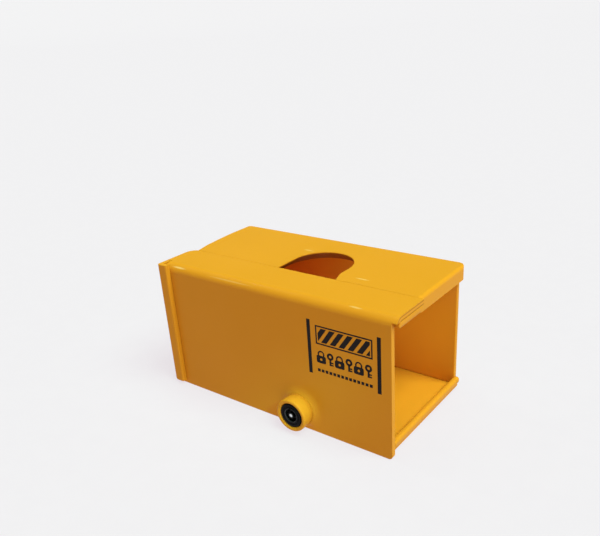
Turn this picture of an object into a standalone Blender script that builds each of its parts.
"""Trailer coupler lock: a steel box that shuts over a trailer's coupling head.

The box is a tray with a back wall and two top plates. Its front is a cover that hooks behind a
lip at the closed end, swings on it, and is held shut by a seven-pin barrel lock in a short tube.

Frame: origin at the middle of the tray's underside, +X to the open end, +Y to the back wall,
+Z up, metres. Distances along the box are measured from LEFT, across it from FRONT.
"""
import math

import bmesh
import bpy
from mathutils import Vector

MM = 0.001

# Plates and box
PLATE = 4.0 * MM                    # thickness of every plate
GAP = 0.3 * MM                      # clearance between neighbouring pieces
LEFT = -110.0 * MM                  # outer face of the closed end
FRONT = -56.25 * MM                 # outer face of the cover wall
BACK = 56.55 * MM                   # rear edge of the tray and of the top plates
TOP = 109.5 * MM                    # upper face of the box
COVER_DROP = 2.5 * MM               # the cover wall hangs this far below the tray
TRAY_END = LEFT + 216.9 * MM        # open end of the tray
BACK_WALL_END = LEFT + 216.2 * MM   # open end of the back wall
WALL_END = LEFT + 219.6 * MM        # open end of the cover wall
TOP_END = LEFT + 221.0 * MM         # open end of the top plates behind the seam
FLANGE_END = TOP_END + 2.4 * MM     # open end of the cover's flange and of the layer under it
UNDER_TOP = TOP - PLATE - GAP       # upper face of the inner top plate
BACK_WALL = BACK - 1.3 * MM         # outer face of the back wall
TRAY_BEND = 5.0 * MM                # outer radius of the tray's bend
COVER_BEND = 7.0 * MM               # outer radius of the cover's bend

# Hook lip and the cover that swings on its edge
LIP_REACH = 10.5 * MM
LIP_FACE = FRONT - PLATE - GAP      # outer face of the lip
LIP_FOOT = 0.4 * MM
LIP_BEND = 2.5 * MM                 # outer radius of the bend into the lip
LIP_EDGE = 1.7 * MM                 # the lip's free edge is rolled to this radius
HINGE = Vector((LEFT + LIP_REACH, FRONT - GAP, 0.0))
WALL_START = LEFT + 4.6 * MM        # end of the cover wall behind the lip
SWING_DEPTH = 8.0 * MM              # plates start this far back where the wall's end swings in
SWING_REACH = 16.5 * MM
SEAM = FRONT + 37.7 * MM            # rear edge of the cover's top flange
FLANGE_CORNER = 9.0 * MM            # round corner that lets the flange swing past the top plate
WALL_SIDE = FRONT + PLATE + GAP     # plates start here behind the cover wall

# Open end: the upper top plate is bent down over it behind the cover's flange
END_LIP = 4.5 * MM                  # thickness of the bent end
END_DROP = 11.5 * MM                # how far it reaches down
END_BEND = 3.0 * MM
END_CORNER = 7.0 * MM               # round rear corner of the top plates
END_INSIDE = TOP_END - END_LIP - GAP

# Notch for the coupling's neck, open to the front under the cover's flange
NOTCH_MID = LEFT + 120.8 * MM
NOTCH_RADIUS = 25.8 * MM
NOTCH_END = FRONT + 87.5 * MM
NOTCH_FLARE = 3.6 * MM              # the right side opens this much towards the cover's flange
NOTCH_RIM = 1.2 * MM                # height of the rim; below it the notch is wider

# Barrel lock: its axis runs along Y; depths are measured forward from the wall's outer face
LOCK = Vector((LEFT + 138.9 * MM, FRONT, 14.2 * MM))
TUBE_RADIUS = 13.45 * MM
TUBE_BORE = 10.1 * MM
TUBE_LENGTH = 13.0 * MM
FACE_DEPTH = 12.7 * MM              # front face of the lock housing
FACE_RADIUS = 9.8 * MM
BODY_RADIUS = 8.5 * MM
BODY_END = -10.5 * MM
SHOULDER = 2.0 * MM
CHAMBER = 6.6 * MM                  # bore of the housing
PLUG_RADIUS = 6.3 * MM
MOUTH = 5.35 * MM                   # ring-shaped opening for the key
POST = 2.6 * MM
SHAFT = 2.4 * MM
PLUG_FACE = 10.2 * MM
SHEAR = 4.0 * MM                    # rear face of the turning plug
PIN_COUNT = 7
PIN_CIRCLE = 4.3 * MM
PIN_RADIUS = 0.7 * MM
PIN_HOLE = 1.0 * MM
PIN_CUTS = (0.9, 1.8, 0.5, 1.4, 2.1, 0.7, 1.6)   # mm, how deep each key pin sits in the plug
DRIVER_LENGTH = 3.0 * MM
SPRING_END = -7.2 * MM
BUSHING_END = -10.2 * MM
CROSS_DEPTH = -8.8 * MM
GROOVE = (-5.95 * MM, -4.25 * MM)

# Cam behind the catch bracket
BRACKET_FACE = FRONT + 12.0 * MM
BRACKET_HALF = 21.5 * MM
BRACKET_TOP = 29.5 * MM
SLOT_HALF = 7.5 * MM
SLOT_FOOT = 7.0 * MM
CAM_FRONT = -16.4 * MM
CAM_THICKNESS = 2.4 * MM
CAM_HALF = 5.5 * MM
CAM_REACH = 21.0 * MM
SQUARE = 5.0 * MM                   # square end of the spindle that carries the cam

YELLOW = ("yellow_paint", (0.80, 0.36, 0.025), 0.32, 0.0)
BLACK = ("black_zinc", (0.012, 0.012, 0.014), 0.38, 0.6)
STEEL = ("bright_steel", (0.55, 0.55, 0.57), 0.28, 1.0)
BRASS = ("pin_brass", (0.62, 0.42, 0.16), 0.30, 1.0)
RUBBER = ("seal_rubber", (0.015, 0.015, 0.015), 0.75, 0.0)


def collection(name):
    made = bpy.data.collections.new(name)
    bpy.context.scene.collection.children.link(made)
    return made


def finish_material(finish):
    name, colour, roughness, metallic = finish
    made = bpy.data.materials.get(name) or bpy.data.materials.new(name)
    made.use_nodes = True
    shader = made.node_tree.nodes["Principled BSDF"]
    shader.inputs["Base Color"].default_value = (*colour, 1.0)
    shader.inputs["Roughness"].default_value = roughness
    shader.inputs["Metallic"].default_value = metallic
    return made


def as_part(name, mesh, finish, location=(0, 0, 0), rotation=(0, 0, 0)):
    """A named piece of the object, in the parts collection, with its own material."""
    part = bpy.data.objects.new(name, mesh)
    part.location = location
    part.rotation_euler = rotation
    mesh.materials.append(finish_material(finish))
    PARTS.objects.link(part)
    return part


def as_cutter(part):
    """Turns a piece into a cutter, which is hidden and left out of the object."""
    part.name = "cutter_" + part.name
    PARTS.objects.unlink(part)
    CUTTERS.objects.link(part)
    part.hide_render = True
    part.display_type = "WIRE"
    return part


def boolean(part, other, operation="DIFFERENCE"):
    step = part.modifiers.new(operation.lower(), "BOOLEAN")
    step.operation = operation
    step.solver = "EXACT"
    step.object = as_cutter(other)


def box(name, low, high, finish):
    """A rectangular block between two corners, made from a cube."""
    low, high = Vector(low), Vector(high)
    work = bmesh.new()
    bmesh.ops.create_cube(work, size=1.0)
    bmesh.ops.scale(work, vec=high - low, verts=work.verts)
    mesh = bpy.data.meshes.new(name)
    work.to_mesh(mesh)
    work.free()
    return as_part(name, mesh, finish, location=(low + high) / 2)


def rounded(corners):
    """Points of a closed outline whose corners are (u, v, radius), each radius drawn as an arc."""
    points = []
    count = len(corners)
    for index, (u, v, radius) in enumerate(corners):
        corner = Vector((u, v))
        if radius == 0:
            points.append(corner)
            continue
        before = (Vector(corners[index - 1][:2]) - corner).normalized()
        after = (Vector(corners[(index + 1) % count][:2]) - corner).normalized()
        half = before.angle(after) / 2
        centre = corner + (before + after).normalized() * radius / math.sin(half)
        start = corner + before * radius / math.tan(half) - centre
        turn = -math.copysign(math.pi - 2 * half, before.cross(after))
        steps = max(3, math.ceil(abs(turn) * (4 + radius / MM / 4)))
        for step in range(steps + 1):
            angle = turn * step / steps
            spoke = Vector((start.x * math.cos(angle) - start.y * math.sin(angle),
                            start.x * math.sin(angle) + start.y * math.cos(angle)))
            points.append(centre + spoke)
    return points


def prism(name, corners, axis, low, high, finish):
    """A flat outline extruded along an axis: (x, y) along Z, (x, z) along Y or (y, z) along X."""
    outline = bpy.data.curves.new(name + "_outline", "CURVE")
    outline.dimensions = "2D"
    outline.fill_mode = "BOTH"
    outline.extrude = (high - low) / 2
    points = rounded(corners)
    spline = outline.splines.new("POLY")
    spline.points.add(len(points) - 1)
    for point, (u, v) in zip(spline.points, points):
        point.co = (u, v, 0, 1)
    spline.use_cyclic_u = True
    guide = bpy.data.objects.new(name + "_outline", outline)
    turned_to = {"X": (math.pi / 2, 0, math.pi / 2), "Y": (math.pi / 2, 0, 0), "Z": (0, 0, 0)}
    guide.rotation_euler = turned_to[axis]
    guide.location["XYZ".index(axis)] = (low + high) / 2
    return solid_from_curve(name, guide, finish)


def solid_from_curve(name, guide, finish):
    """Replaces a curve object with a closed mesh in the same place."""
    PARTS.objects.link(guide)
    bpy.context.view_layer.update()
    graph = bpy.context.evaluated_depsgraph_get()
    mesh = bpy.data.meshes.new_from_object(guide.evaluated_get(graph))
    work = bmesh.new()
    work.from_mesh(mesh)
    bmesh.ops.remove_doubles(work, verts=work.verts, dist=0.00001)
    work.to_mesh(mesh)
    work.free()
    mesh.materials.clear()
    part = as_part(name, mesh, finish)
    part.matrix_world = guide.matrix_world
    bpy.data.objects.remove(guide)
    return part


def turned(name, profile, finish, steps=32, closed=True):
    """A piece turned about the lock's axis from a (radius, depth) profile, outer side first."""
    mesh = bpy.data.meshes.new(name)
    count = len(profile)
    edges = [(i, (i + 1) % count) for i in range(count if closed else count - 1)]
    mesh.from_pydata([(radius, 0, depth) for radius, depth in profile], edges, [])
    part = as_part(name, mesh, finish, location=LOCK, rotation=(math.pi / 2, 0, 0))
    screw = part.modifiers.new("turn", "SCREW")
    screw.steps = steps
    screw.render_steps = steps
    screw.use_merge_vertices = True
    screw.merge_threshold = 0.00001
    screw.use_smooth_shade = True
    return part


def rod(name, radius, front, back, finish, steps=32):
    """A plain round bar on the lock's axis."""
    return turned(name, [(0, front), (radius, front), (radius, back), (0, back)], finish, steps,
                  closed=False)


def ring(name, outer, inner, front, back, finish, steps=32):
    """A plain ring on the lock's axis."""
    return turned(name, [(outer, front), (outer, back), (inner, back), (inner, front)], finish, steps)


def pin_place(index):
    """Place of a pin chamber, on its circle round the lock's axis, the first one at the top."""
    angle = math.pi / 2 + math.tau * index / PIN_COUNT
    return Vector((PIN_CIRCLE * math.cos(angle), 0, PIN_CIRCLE * math.sin(angle)))


def soften(part, width, segments=2):
    bevel = part.modifiers.new("edges", "BEVEL")
    bevel.width = width
    bevel.segments = segments


# Fixed box ---------------------------------------------------------------------------------------

def base_tray():
    """Floor bent up into the closed end, whose front edge is bent round into the hook lip."""
    tray = prism("base_tray", [
        (LEFT, UNDER_TOP, 0), (LEFT, 0, TRAY_BEND), (TRAY_END, 0, 0), (TRAY_END, PLATE, 0),
        (LEFT + PLATE, PLATE, TRAY_BEND - PLATE), (LEFT + PLATE, UNDER_TOP, 0),
    ], "Y", WALL_SIDE, BACK, YELLOW)
    lip = prism("hook_lip", [
        (LEFT, FRONT + SWING_DEPTH, 0), (LEFT, LIP_FACE, LIP_BEND), (HINGE.x, LIP_FACE, LIP_EDGE),
        (HINGE.x, HINGE.y, 0), (LEFT + PLATE, HINGE.y, 0), (LEFT + PLATE, FRONT + SWING_DEPTH, 0),
    ], "Z", LIP_FOOT, TOP, YELLOW)
    boolean(tray, lip, "UNION")
    boolean(tray, box("floor_swing", (LEFT + PLATE, FRONT, -PLATE),
                      (LEFT + SWING_REACH, FRONT + SWING_DEPTH, 2 * PLATE), YELLOW))
    boolean(tray, prism("foot_bend", [
        (LEFT - PLATE, -PLATE, 0), (LEFT + TRAY_BEND, -PLATE, 0), (LEFT + TRAY_BEND, 0, 0),
        (LEFT, 0, TRAY_BEND), (LEFT, TRAY_BEND, 0), (LEFT - PLATE, TRAY_BEND, 0),
    ], "Y", LIP_FACE - PLATE, WALL_SIDE + PLATE, YELLOW))


def back_wall():
    box("back_wall", (LEFT + PLATE + GAP, BACK_WALL - PLATE, PLATE + GAP),
        (BACK_WALL_END, BACK_WALL, UNDER_TOP - PLATE - GAP), YELLOW)


def notch_corners(front, flare, margin=0.0):
    """Corners of the neck notch, from its front left end round to its front right end."""
    radius = NOTCH_RADIUS + margin
    return [
        (NOTCH_MID - radius, front, 0),
        (NOTCH_MID - radius, NOTCH_END + margin, radius - 0.01 * MM),
        (NOTCH_MID + radius, NOTCH_END + margin, radius - 0.01 * MM),
        (NOTCH_MID + radius, front + 12 * MM, 15 * MM),
        (NOTCH_MID + radius + flare, front, 0),
    ]


def inner_top_plate():
    """Lower plate; its front edge is rounded to lie in the cover's bend."""
    side = FRONT + SWING_DEPTH
    bend = COVER_BEND - PLATE
    plate = prism("inner_top_plate", [
        (LEFT + PLATE + GAP, BACK, 0), (LEFT + PLATE + GAP, side, 0), (LEFT + SWING_REACH, side, 0),
        (LEFT + SWING_REACH, WALL_SIDE, 0), *notch_corners(WALL_SIDE, 0.5 * MM, 2 * PLATE),
        (FLANGE_END, WALL_SIDE, 0), (FLANGE_END, SEAM, 0), (END_INSIDE, SEAM, 0),
        (END_INSIDE, BACK, 0),
    ], "Z", UNDER_TOP - PLATE, UNDER_TOP, YELLOW)
    boolean(plate, prism("front_round", [
        (WALL_SIDE - PLATE, UNDER_TOP + PLATE, 0), (WALL_SIDE - PLATE, UNDER_TOP - bend, 0),
        (WALL_SIDE, UNDER_TOP - bend, 0), (WALL_SIDE, UNDER_TOP, bend),
        (WALL_SIDE + bend, UNDER_TOP, 0), (WALL_SIDE + bend, UNDER_TOP + PLATE, 0),
    ], "X", LEFT, TOP_END + PLATE, YELLOW))


def outer_top_plate():
    """Upper plate behind the cover's flange, bent down over the open end."""
    front = SEAM + GAP
    plate = prism("outer_top_plate", [
        (LEFT - GAP, BACK, 3.0 * MM), (LEFT - GAP, front + 48 * MM, 0),
        (LEFT + 1.2 * MM, front + 30 * MM, 0), (LEFT + 3.0 * MM, front + 14 * MM, 0),
        (LEFT + 6.2 * MM, front, 0), *notch_corners(front, NOTCH_FLARE), (TOP_END, front, 0),
        (TOP_END, BACK, END_CORNER),
    ], "Z", TOP - END_DROP, TOP, YELLOW)
    boolean(plate, box("under_plate", (LEFT - PLATE, front - PLATE, TOP - END_DROP - PLATE),
                       (TOP_END - END_LIP, BACK + PLATE, TOP - PLATE), YELLOW))
    boolean(plate, prism("end_bend", [
        (TOP_END - END_BEND, TOP + PLATE, 0), (TOP_END - END_BEND, TOP, 0), (TOP_END, TOP, END_BEND),
        (TOP_END, TOP - END_BEND, 0), (TOP_END + PLATE, TOP - END_BEND, 0),
        (TOP_END + PLATE, TOP + PLATE, 0),
    ], "Y", front - PLATE, BACK + PLATE, YELLOW))
    boolean(plate, prism("notch_relief", notch_corners(front - PLATE, NOTCH_FLARE, PLATE), "Z",
                         TOP - 2 * PLATE, TOP - NOTCH_RIM, YELLOW))


def sill_bar():
    """Round-edged bar across the floor's open end, long enough to close the back wall's edge."""
    inside, outside = TRAY_END - 2.4 * MM, TRAY_END + 2.5 * MM
    stop = BACK_WALL - PLATE - GAP
    bar = prism("sill_bar", [
        (inside, WALL_SIDE, 0), (outside, WALL_SIDE, 0), (outside, BACK_WALL, 2.4 * MM),
        (BACK_WALL_END + GAP, BACK_WALL, 0), (BACK_WALL_END + GAP, stop, 0), (inside, stop, 0),
    ], "Z", PLATE + GAP, PLATE + 6.0 * MM, YELLOW)
    soften(bar, 0.9 * MM)


def header_bar():
    """Thin bar under the top plates' open end, set back behind the bent end."""
    top = UNDER_TOP - PLATE - GAP
    inside, outside = END_INSIDE - 5.5 * MM, FLANGE_END - 1.8 * MM
    bar = prism("header_bar", [
        (inside, FRONT + SWING_DEPTH, 0), (outside, FRONT + SWING_DEPTH, 0),
        (outside, SEAM, 0), (END_INSIDE, SEAM, 0),
        (END_INSIDE, BACK_WALL - PLATE - GAP, 0), (inside, BACK_WALL - PLATE - GAP, 0),
    ], "Z", top - 1.8 * MM, top, YELLOW)
    soften(bar, 0.5 * MM)


def catch_bracket():
    """Upright on the floor whose slot lets the cam in pointing up and holds it once it is turned."""
    left, right = LOCK.x - BRACKET_HALF, LOCK.x + BRACKET_HALF
    slot_left, slot_right = LOCK.x - SLOT_HALF, LOCK.x + SLOT_HALF
    foot = PLATE + GAP
    prism("catch_bracket", [
        (left, foot, 0), (right, foot, 0), (right, BRACKET_TOP, 4 * MM),
        (slot_right, BRACKET_TOP, 2 * MM), (slot_right, SLOT_FOOT, 2 * MM),
        (slot_left, SLOT_FOOT, 2 * MM), (slot_left, BRACKET_TOP, 2 * MM), (left, BRACKET_TOP, 4 * MM),
    ], "Y", BRACKET_FACE, BRACKET_FACE + PLATE, YELLOW)


# Cover and the fixed pieces of its lock ----------------------------------------------------------

def cover_panel():
    """Front wall bent back into a top flange, with a round hole for the lock."""
    inner = FRONT + PLATE
    panel = prism("cover_panel", [
        (FRONT, -COVER_DROP, 0), (inner, -COVER_DROP, 0),
        (inner, TOP - PLATE, COVER_BEND - PLATE), (SEAM, TOP - PLATE, 0), (SEAM, TOP, 0),
        (FRONT, TOP, COVER_BEND),
    ], "X", LEFT, FLANGE_END, YELLOW)
    below, above = -2 * PLATE, TOP - PLATE
    boolean(panel, box("wall_start", (LEFT - PLATE, FRONT - PLATE, below),
                       (WALL_START, FRONT + SWING_DEPTH + GAP, TOP + PLATE), YELLOW))
    boolean(panel, box("wall_end", (WALL_END, FRONT - PLATE, below),
                       (TOP_END + PLATE, FRONT + 2 * PLATE, above), YELLOW))
    boolean(panel, prism("flange_corner", [
        (LEFT - PLATE, SEAM + PLATE, 0), (LEFT - PLATE, SEAM - FLANGE_CORNER, 0),
        (LEFT, SEAM - FLANGE_CORNER, 0), (LEFT, SEAM, FLANGE_CORNER),
        (LEFT + FLANGE_CORNER, SEAM, 0), (LEFT + FLANGE_CORNER, SEAM + PLATE, 0),
    ], "Z", TOP - 2 * PLATE, TOP + PLATE, YELLOW))
    foot_corner = 3.0 * MM
    boolean(panel, prism("wall_corner", [
        (WALL_END + PLATE, -COVER_DROP - PLATE, 0), (WALL_END + PLATE, foot_corner - COVER_DROP, 0),
        (WALL_END, foot_corner - COVER_DROP, 0), (WALL_END, -COVER_DROP, foot_corner),
        (WALL_END - foot_corner, -COVER_DROP, 0), (WALL_END - foot_corner, -COVER_DROP - PLATE, 0),
    ], "Y", FRONT - PLATE, FRONT + 2 * PLATE, YELLOW))
    boolean(panel, rod("lock_hole", BODY_RADIUS + 0.4 * MM, PLATE, -2 * PLATE, YELLOW))


def lock_tube():
    front = TUBE_LENGTH + GAP
    turned("lock_tube", [
        (TUBE_BORE + 1.0 * MM, front), (TUBE_RADIUS - 1.0 * MM, front),
        (TUBE_RADIUS, front - 1.0 * MM), (TUBE_RADIUS, GAP), (TUBE_BORE, GAP),
        (TUBE_BORE, front - 1.0 * MM),
    ], YELLOW, steps=48)


def lock_housing():
    """Flanged barrel; its bore is open at the back and has a ring-shaped mouth for the key."""
    lip = 1.3 * MM
    body = BODY_RADIUS
    housing = turned("lock_housing", [
        (FACE_RADIUS - 0.8 * MM, FACE_DEPTH), (FACE_RADIUS, FACE_DEPTH - 0.8 * MM),
        (FACE_RADIUS, SHOULDER), (body, SHOULDER), (body, GROOVE[1]), (body - 0.9 * MM, GROOVE[1]),
        (body - 0.9 * MM, GROOVE[0]), (body, GROOVE[0]), (body, BODY_END), (CHAMBER, BODY_END),
        (CHAMBER, FACE_DEPTH - lip), (MOUTH, FACE_DEPTH - lip), (MOUTH, FACE_DEPTH),
    ], BLACK, steps=40)
    key_slot = 0.8 * MM
    boolean(housing, box("key_slot", LOCK + Vector((-key_slot, -FACE_DEPTH - PLATE, MOUTH - PLATE / 2)),
                         LOCK + Vector((key_slot, -FACE_DEPTH + lip, MOUTH + 1.0 * MM)), BLACK))
    boolean(housing, cross_hole("housing_hole", 1.05 * MM, CHAMBER - PLATE / 2, body + PLATE))


def cross_hole(name, radius, low, high, finish=STEEL, steps=16):
    """An upright round bar across the lock's axis, at the depth of the cross pin."""
    hole = rod(name, radius, high, low, finish, steps)
    hole.location = LOCK + Vector((0, -CROSS_DEPTH, 0))
    hole.rotation_euler = (0, 0, 0)
    return hole


def cross_pin():
    """Pin that keys the bushing to the housing."""
    cross_hole("cross_pin", 0.75 * MM, 3.2 * MM, BODY_RADIUS - 0.2 * MM)


def retaining_clip():
    """Open spring clip in the housing's groove, behind the cover wall."""
    clip = ring("retaining_clip", 9.8 * MM, BODY_RADIUS - 0.6 * MM, -4.5 * MM, -5.7 * MM, STEEL)
    boolean(clip, box("clip_opening", LOCK + Vector((-3.5 * MM, PLATE, -3 * PLATE)),
                      LOCK + Vector((3.5 * MM, 2 * PLATE, -PLATE)), STEEL))


def seal_ring():
    """Rubber ring between the housing's shoulder and the wall."""
    radius = 0.55 * MM
    circle = [(9.25 * MM + radius * math.cos(-math.tau * i / 10),
               1.0 * MM + radius * math.sin(-math.tau * i / 10)) for i in range(10)]
    turned("seal_ring", circle, RUBBER)


def drill_pin_chambers(part, front, back):
    for index in range(PIN_COUNT):
        chamber = rod(f"chamber_{part.name}_{index + 1}", PIN_HOLE, front, back, STEEL, steps=12)
        chamber.location += pin_place(index)
        boolean(part, chamber)


def bushing():
    """Fixed rear half of the lock, with a blind chamber for each driver pin and its spring."""
    front = SHEAR - GAP
    part = ring("bushing", PLUG_RADIUS, SHAFT + GAP, front, BUSHING_END, STEEL, steps=40)
    drill_pin_chambers(part, front + PLATE, SPRING_END - GAP)
    boolean(part, cross_hole("bushing_hole", 1.05 * MM, SHAFT, PLUG_RADIUS + PLATE))


def stacked_pin(name, index, front, back):
    """Small round pin with chamfered ends in its chamber."""
    edge = 0.2 * MM
    pin = turned(name, [
        (0, front), (PIN_RADIUS - edge, front), (PIN_RADIUS, front - edge),
        (PIN_RADIUS, back + edge), (PIN_RADIUS - edge, back), (0, back),
    ], BRASS, steps=12, closed=False)
    pin.location += pin_place(index)


def driver_pins():
    front = SHEAR - GAP
    for index in range(PIN_COUNT):
        stacked_pin(f"driver_pin_{index + 1}", index, front, front - DRIVER_LENGTH)


def pin_springs():
    """Light coil spring behind each driver pin."""
    wire, coil, turns, per_turn = 0.17 * MM, 0.6 * MM, 4, 7
    front = SHEAR - GAP - DRIVER_LENGTH - GAP - wire
    back = SPRING_END + wire
    for index in range(PIN_COUNT):
        name = f"pin_spring_{index + 1}"
        path = bpy.data.curves.new(name + "_path", "CURVE")
        path.dimensions = "3D"
        path.bevel_depth = wire
        path.bevel_resolution = 1
        path.use_fill_caps = True
        spline = path.splines.new("POLY")
        spline.points.add(turns * per_turn)
        for step, point in enumerate(spline.points):
            along = step / (turns * per_turn)
            angle = math.tau * turns * along
            point.co = (coil * math.cos(angle), coil * math.sin(angle),
                        front + (back - front) * along, 1)
        guide = bpy.data.objects.new(name + "_path", path)
        guide.location = LOCK + pin_place(index)
        guide.rotation_euler = (math.pi / 2, 0, 0)
        solid_from_curve(name, guide, STEEL)


# Turning pieces of the lock ----------------------------------------------------------------------

def lock_spindle():
    """Plug with its centre post in front, shaft through the bushing, boss and square end behind."""
    boss_front, boss_back = BUSHING_END - 0.6 * MM, CAM_FRONT + GAP
    tail = CAM_FRONT - CAM_THICKNESS + 0.2 * MM
    bore = 1.9 * MM
    boss = 5.0 * MM
    spindle = turned("lock_spindle", [
        (0, FACE_DEPTH - 0.3 * MM), (POST, FACE_DEPTH - 0.3 * MM), (POST, PLUG_FACE),
        (PLUG_RADIUS, PLUG_FACE), (PLUG_RADIUS, SHEAR), (SHAFT, SHEAR), (SHAFT, boss_front),
        (boss, boss_front), (boss, boss_back), (0, boss_back),
    ], BLACK, steps=40, closed=False)
    half = SQUARE / 2
    boolean(spindle, box("square_end", LOCK + Vector((-half, -boss_back - PLATE / 4, -half)),
                         LOCK + Vector((half, -tail, half)), STEEL), "UNION")
    boolean(spindle, rod("screw_bore", bore, CAM_FRONT + 4.5 * MM, tail - PLATE, STEEL, steps=20))
    boolean(spindle, box("post_notch", LOCK + Vector((-0.7 * MM, -FACE_DEPTH - PLATE, 1.5 * MM)),
                         LOCK + Vector((0.7 * MM, -PLUG_FACE - 0.4 * MM, PLATE)), STEEL))
    drill_pin_chambers(spindle, PLUG_FACE + PLATE / 2, SHEAR - PLATE / 8)


def key_pins():
    for index, cut in enumerate(PIN_CUTS):
        stacked_pin(f"key_pin_{index + 1}", index, PLUG_FACE - cut * MM, SHEAR)


def lock_cam():
    """Tongue on the spindle's square end, pointing up while the lock is open."""
    x, z = LOCK.x, LOCK.z
    tail = CAM_HALF + 0.5 * MM
    front = FRONT - CAM_FRONT
    cam = prism("lock_cam", [
        (x - CAM_HALF, z - tail, CAM_HALF * 0.9), (x + CAM_HALF, z - tail, CAM_HALF * 0.9),
        (x + CAM_HALF, z + CAM_REACH, 3 * MM), (x - CAM_HALF, z + CAM_REACH, 3 * MM),
    ], "Y", front, front + CAM_THICKNESS, STEEL)
    half = SQUARE / 2 + GAP
    boolean(cam, box("cam_hole", LOCK + Vector((-half, -CAM_FRONT - PLATE, -half)),
                     LOCK + Vector((half, -CAM_FRONT + PLATE, half)), STEEL))


def cam_washer():
    front = CAM_FRONT - CAM_THICKNESS - GAP
    ring("cam_washer", 4.8 * MM, 1.9 * MM, front, front - 0.9 * MM, STEEL)


def cam_screw():
    """Hexagon-headed screw that holds the cam on the spindle."""
    head = CAM_FRONT - CAM_THICKNESS - 1.5 * MM
    shank = 1.55 * MM
    size = 3.8 * MM
    screw = rod("cam_screw", shank, CAM_FRONT + 4.0 * MM, head - 1.0 * MM, STEEL, steps=20)
    corners = [(LOCK.x + size * math.cos(math.tau * i / 6), LOCK.z + size * math.sin(math.tau * i / 6), 0)
               for i in range(6)]
    boolean(screw, prism("hexagon", corners, "Y", FRONT - head, FRONT - head + 2.8 * MM, STEEL), "UNION")


def moving_group(name, location, makers, parent=None):
    """Makes pieces and hangs them from an empty that stands on their joint's axis."""
    before = set(PARTS.objects)
    for make in makers:
        make()
    made = [part for part in PARTS.objects if part not in before]
    pivot = bpy.data.objects.new(name, None)
    pivot.location = location
    PARTS.objects.link(pivot)
    bpy.context.view_layer.update()
    for part in made:
        part.parent = pivot
        part.matrix_parent_inverse = pivot.matrix_world.inverted()
    if parent:
        pivot.parent = parent
        pivot.matrix_parent_inverse = parent.matrix_world.inverted()
    return pivot


for leftover in list(bpy.data.objects):
    bpy.data.objects.remove(leftover)

PARTS = collection("trailer_coupler_lock")
CUTTERS = collection("cutters")

for make_fixed in (base_tray, back_wall, inner_top_plate, outer_top_plate, sill_bar, header_bar,
                   catch_bracket):
    make_fixed()

cover_pivot = moving_group("cover_pivot", HINGE, (
    cover_panel, lock_tube, lock_housing, seal_ring, retaining_clip, bushing, cross_pin,
    driver_pins, pin_springs))

moving_group("lock_pivot", LOCK, (
    lock_spindle, key_pins, lock_cam, cam_washer, cam_screw), parent=cover_pivot)
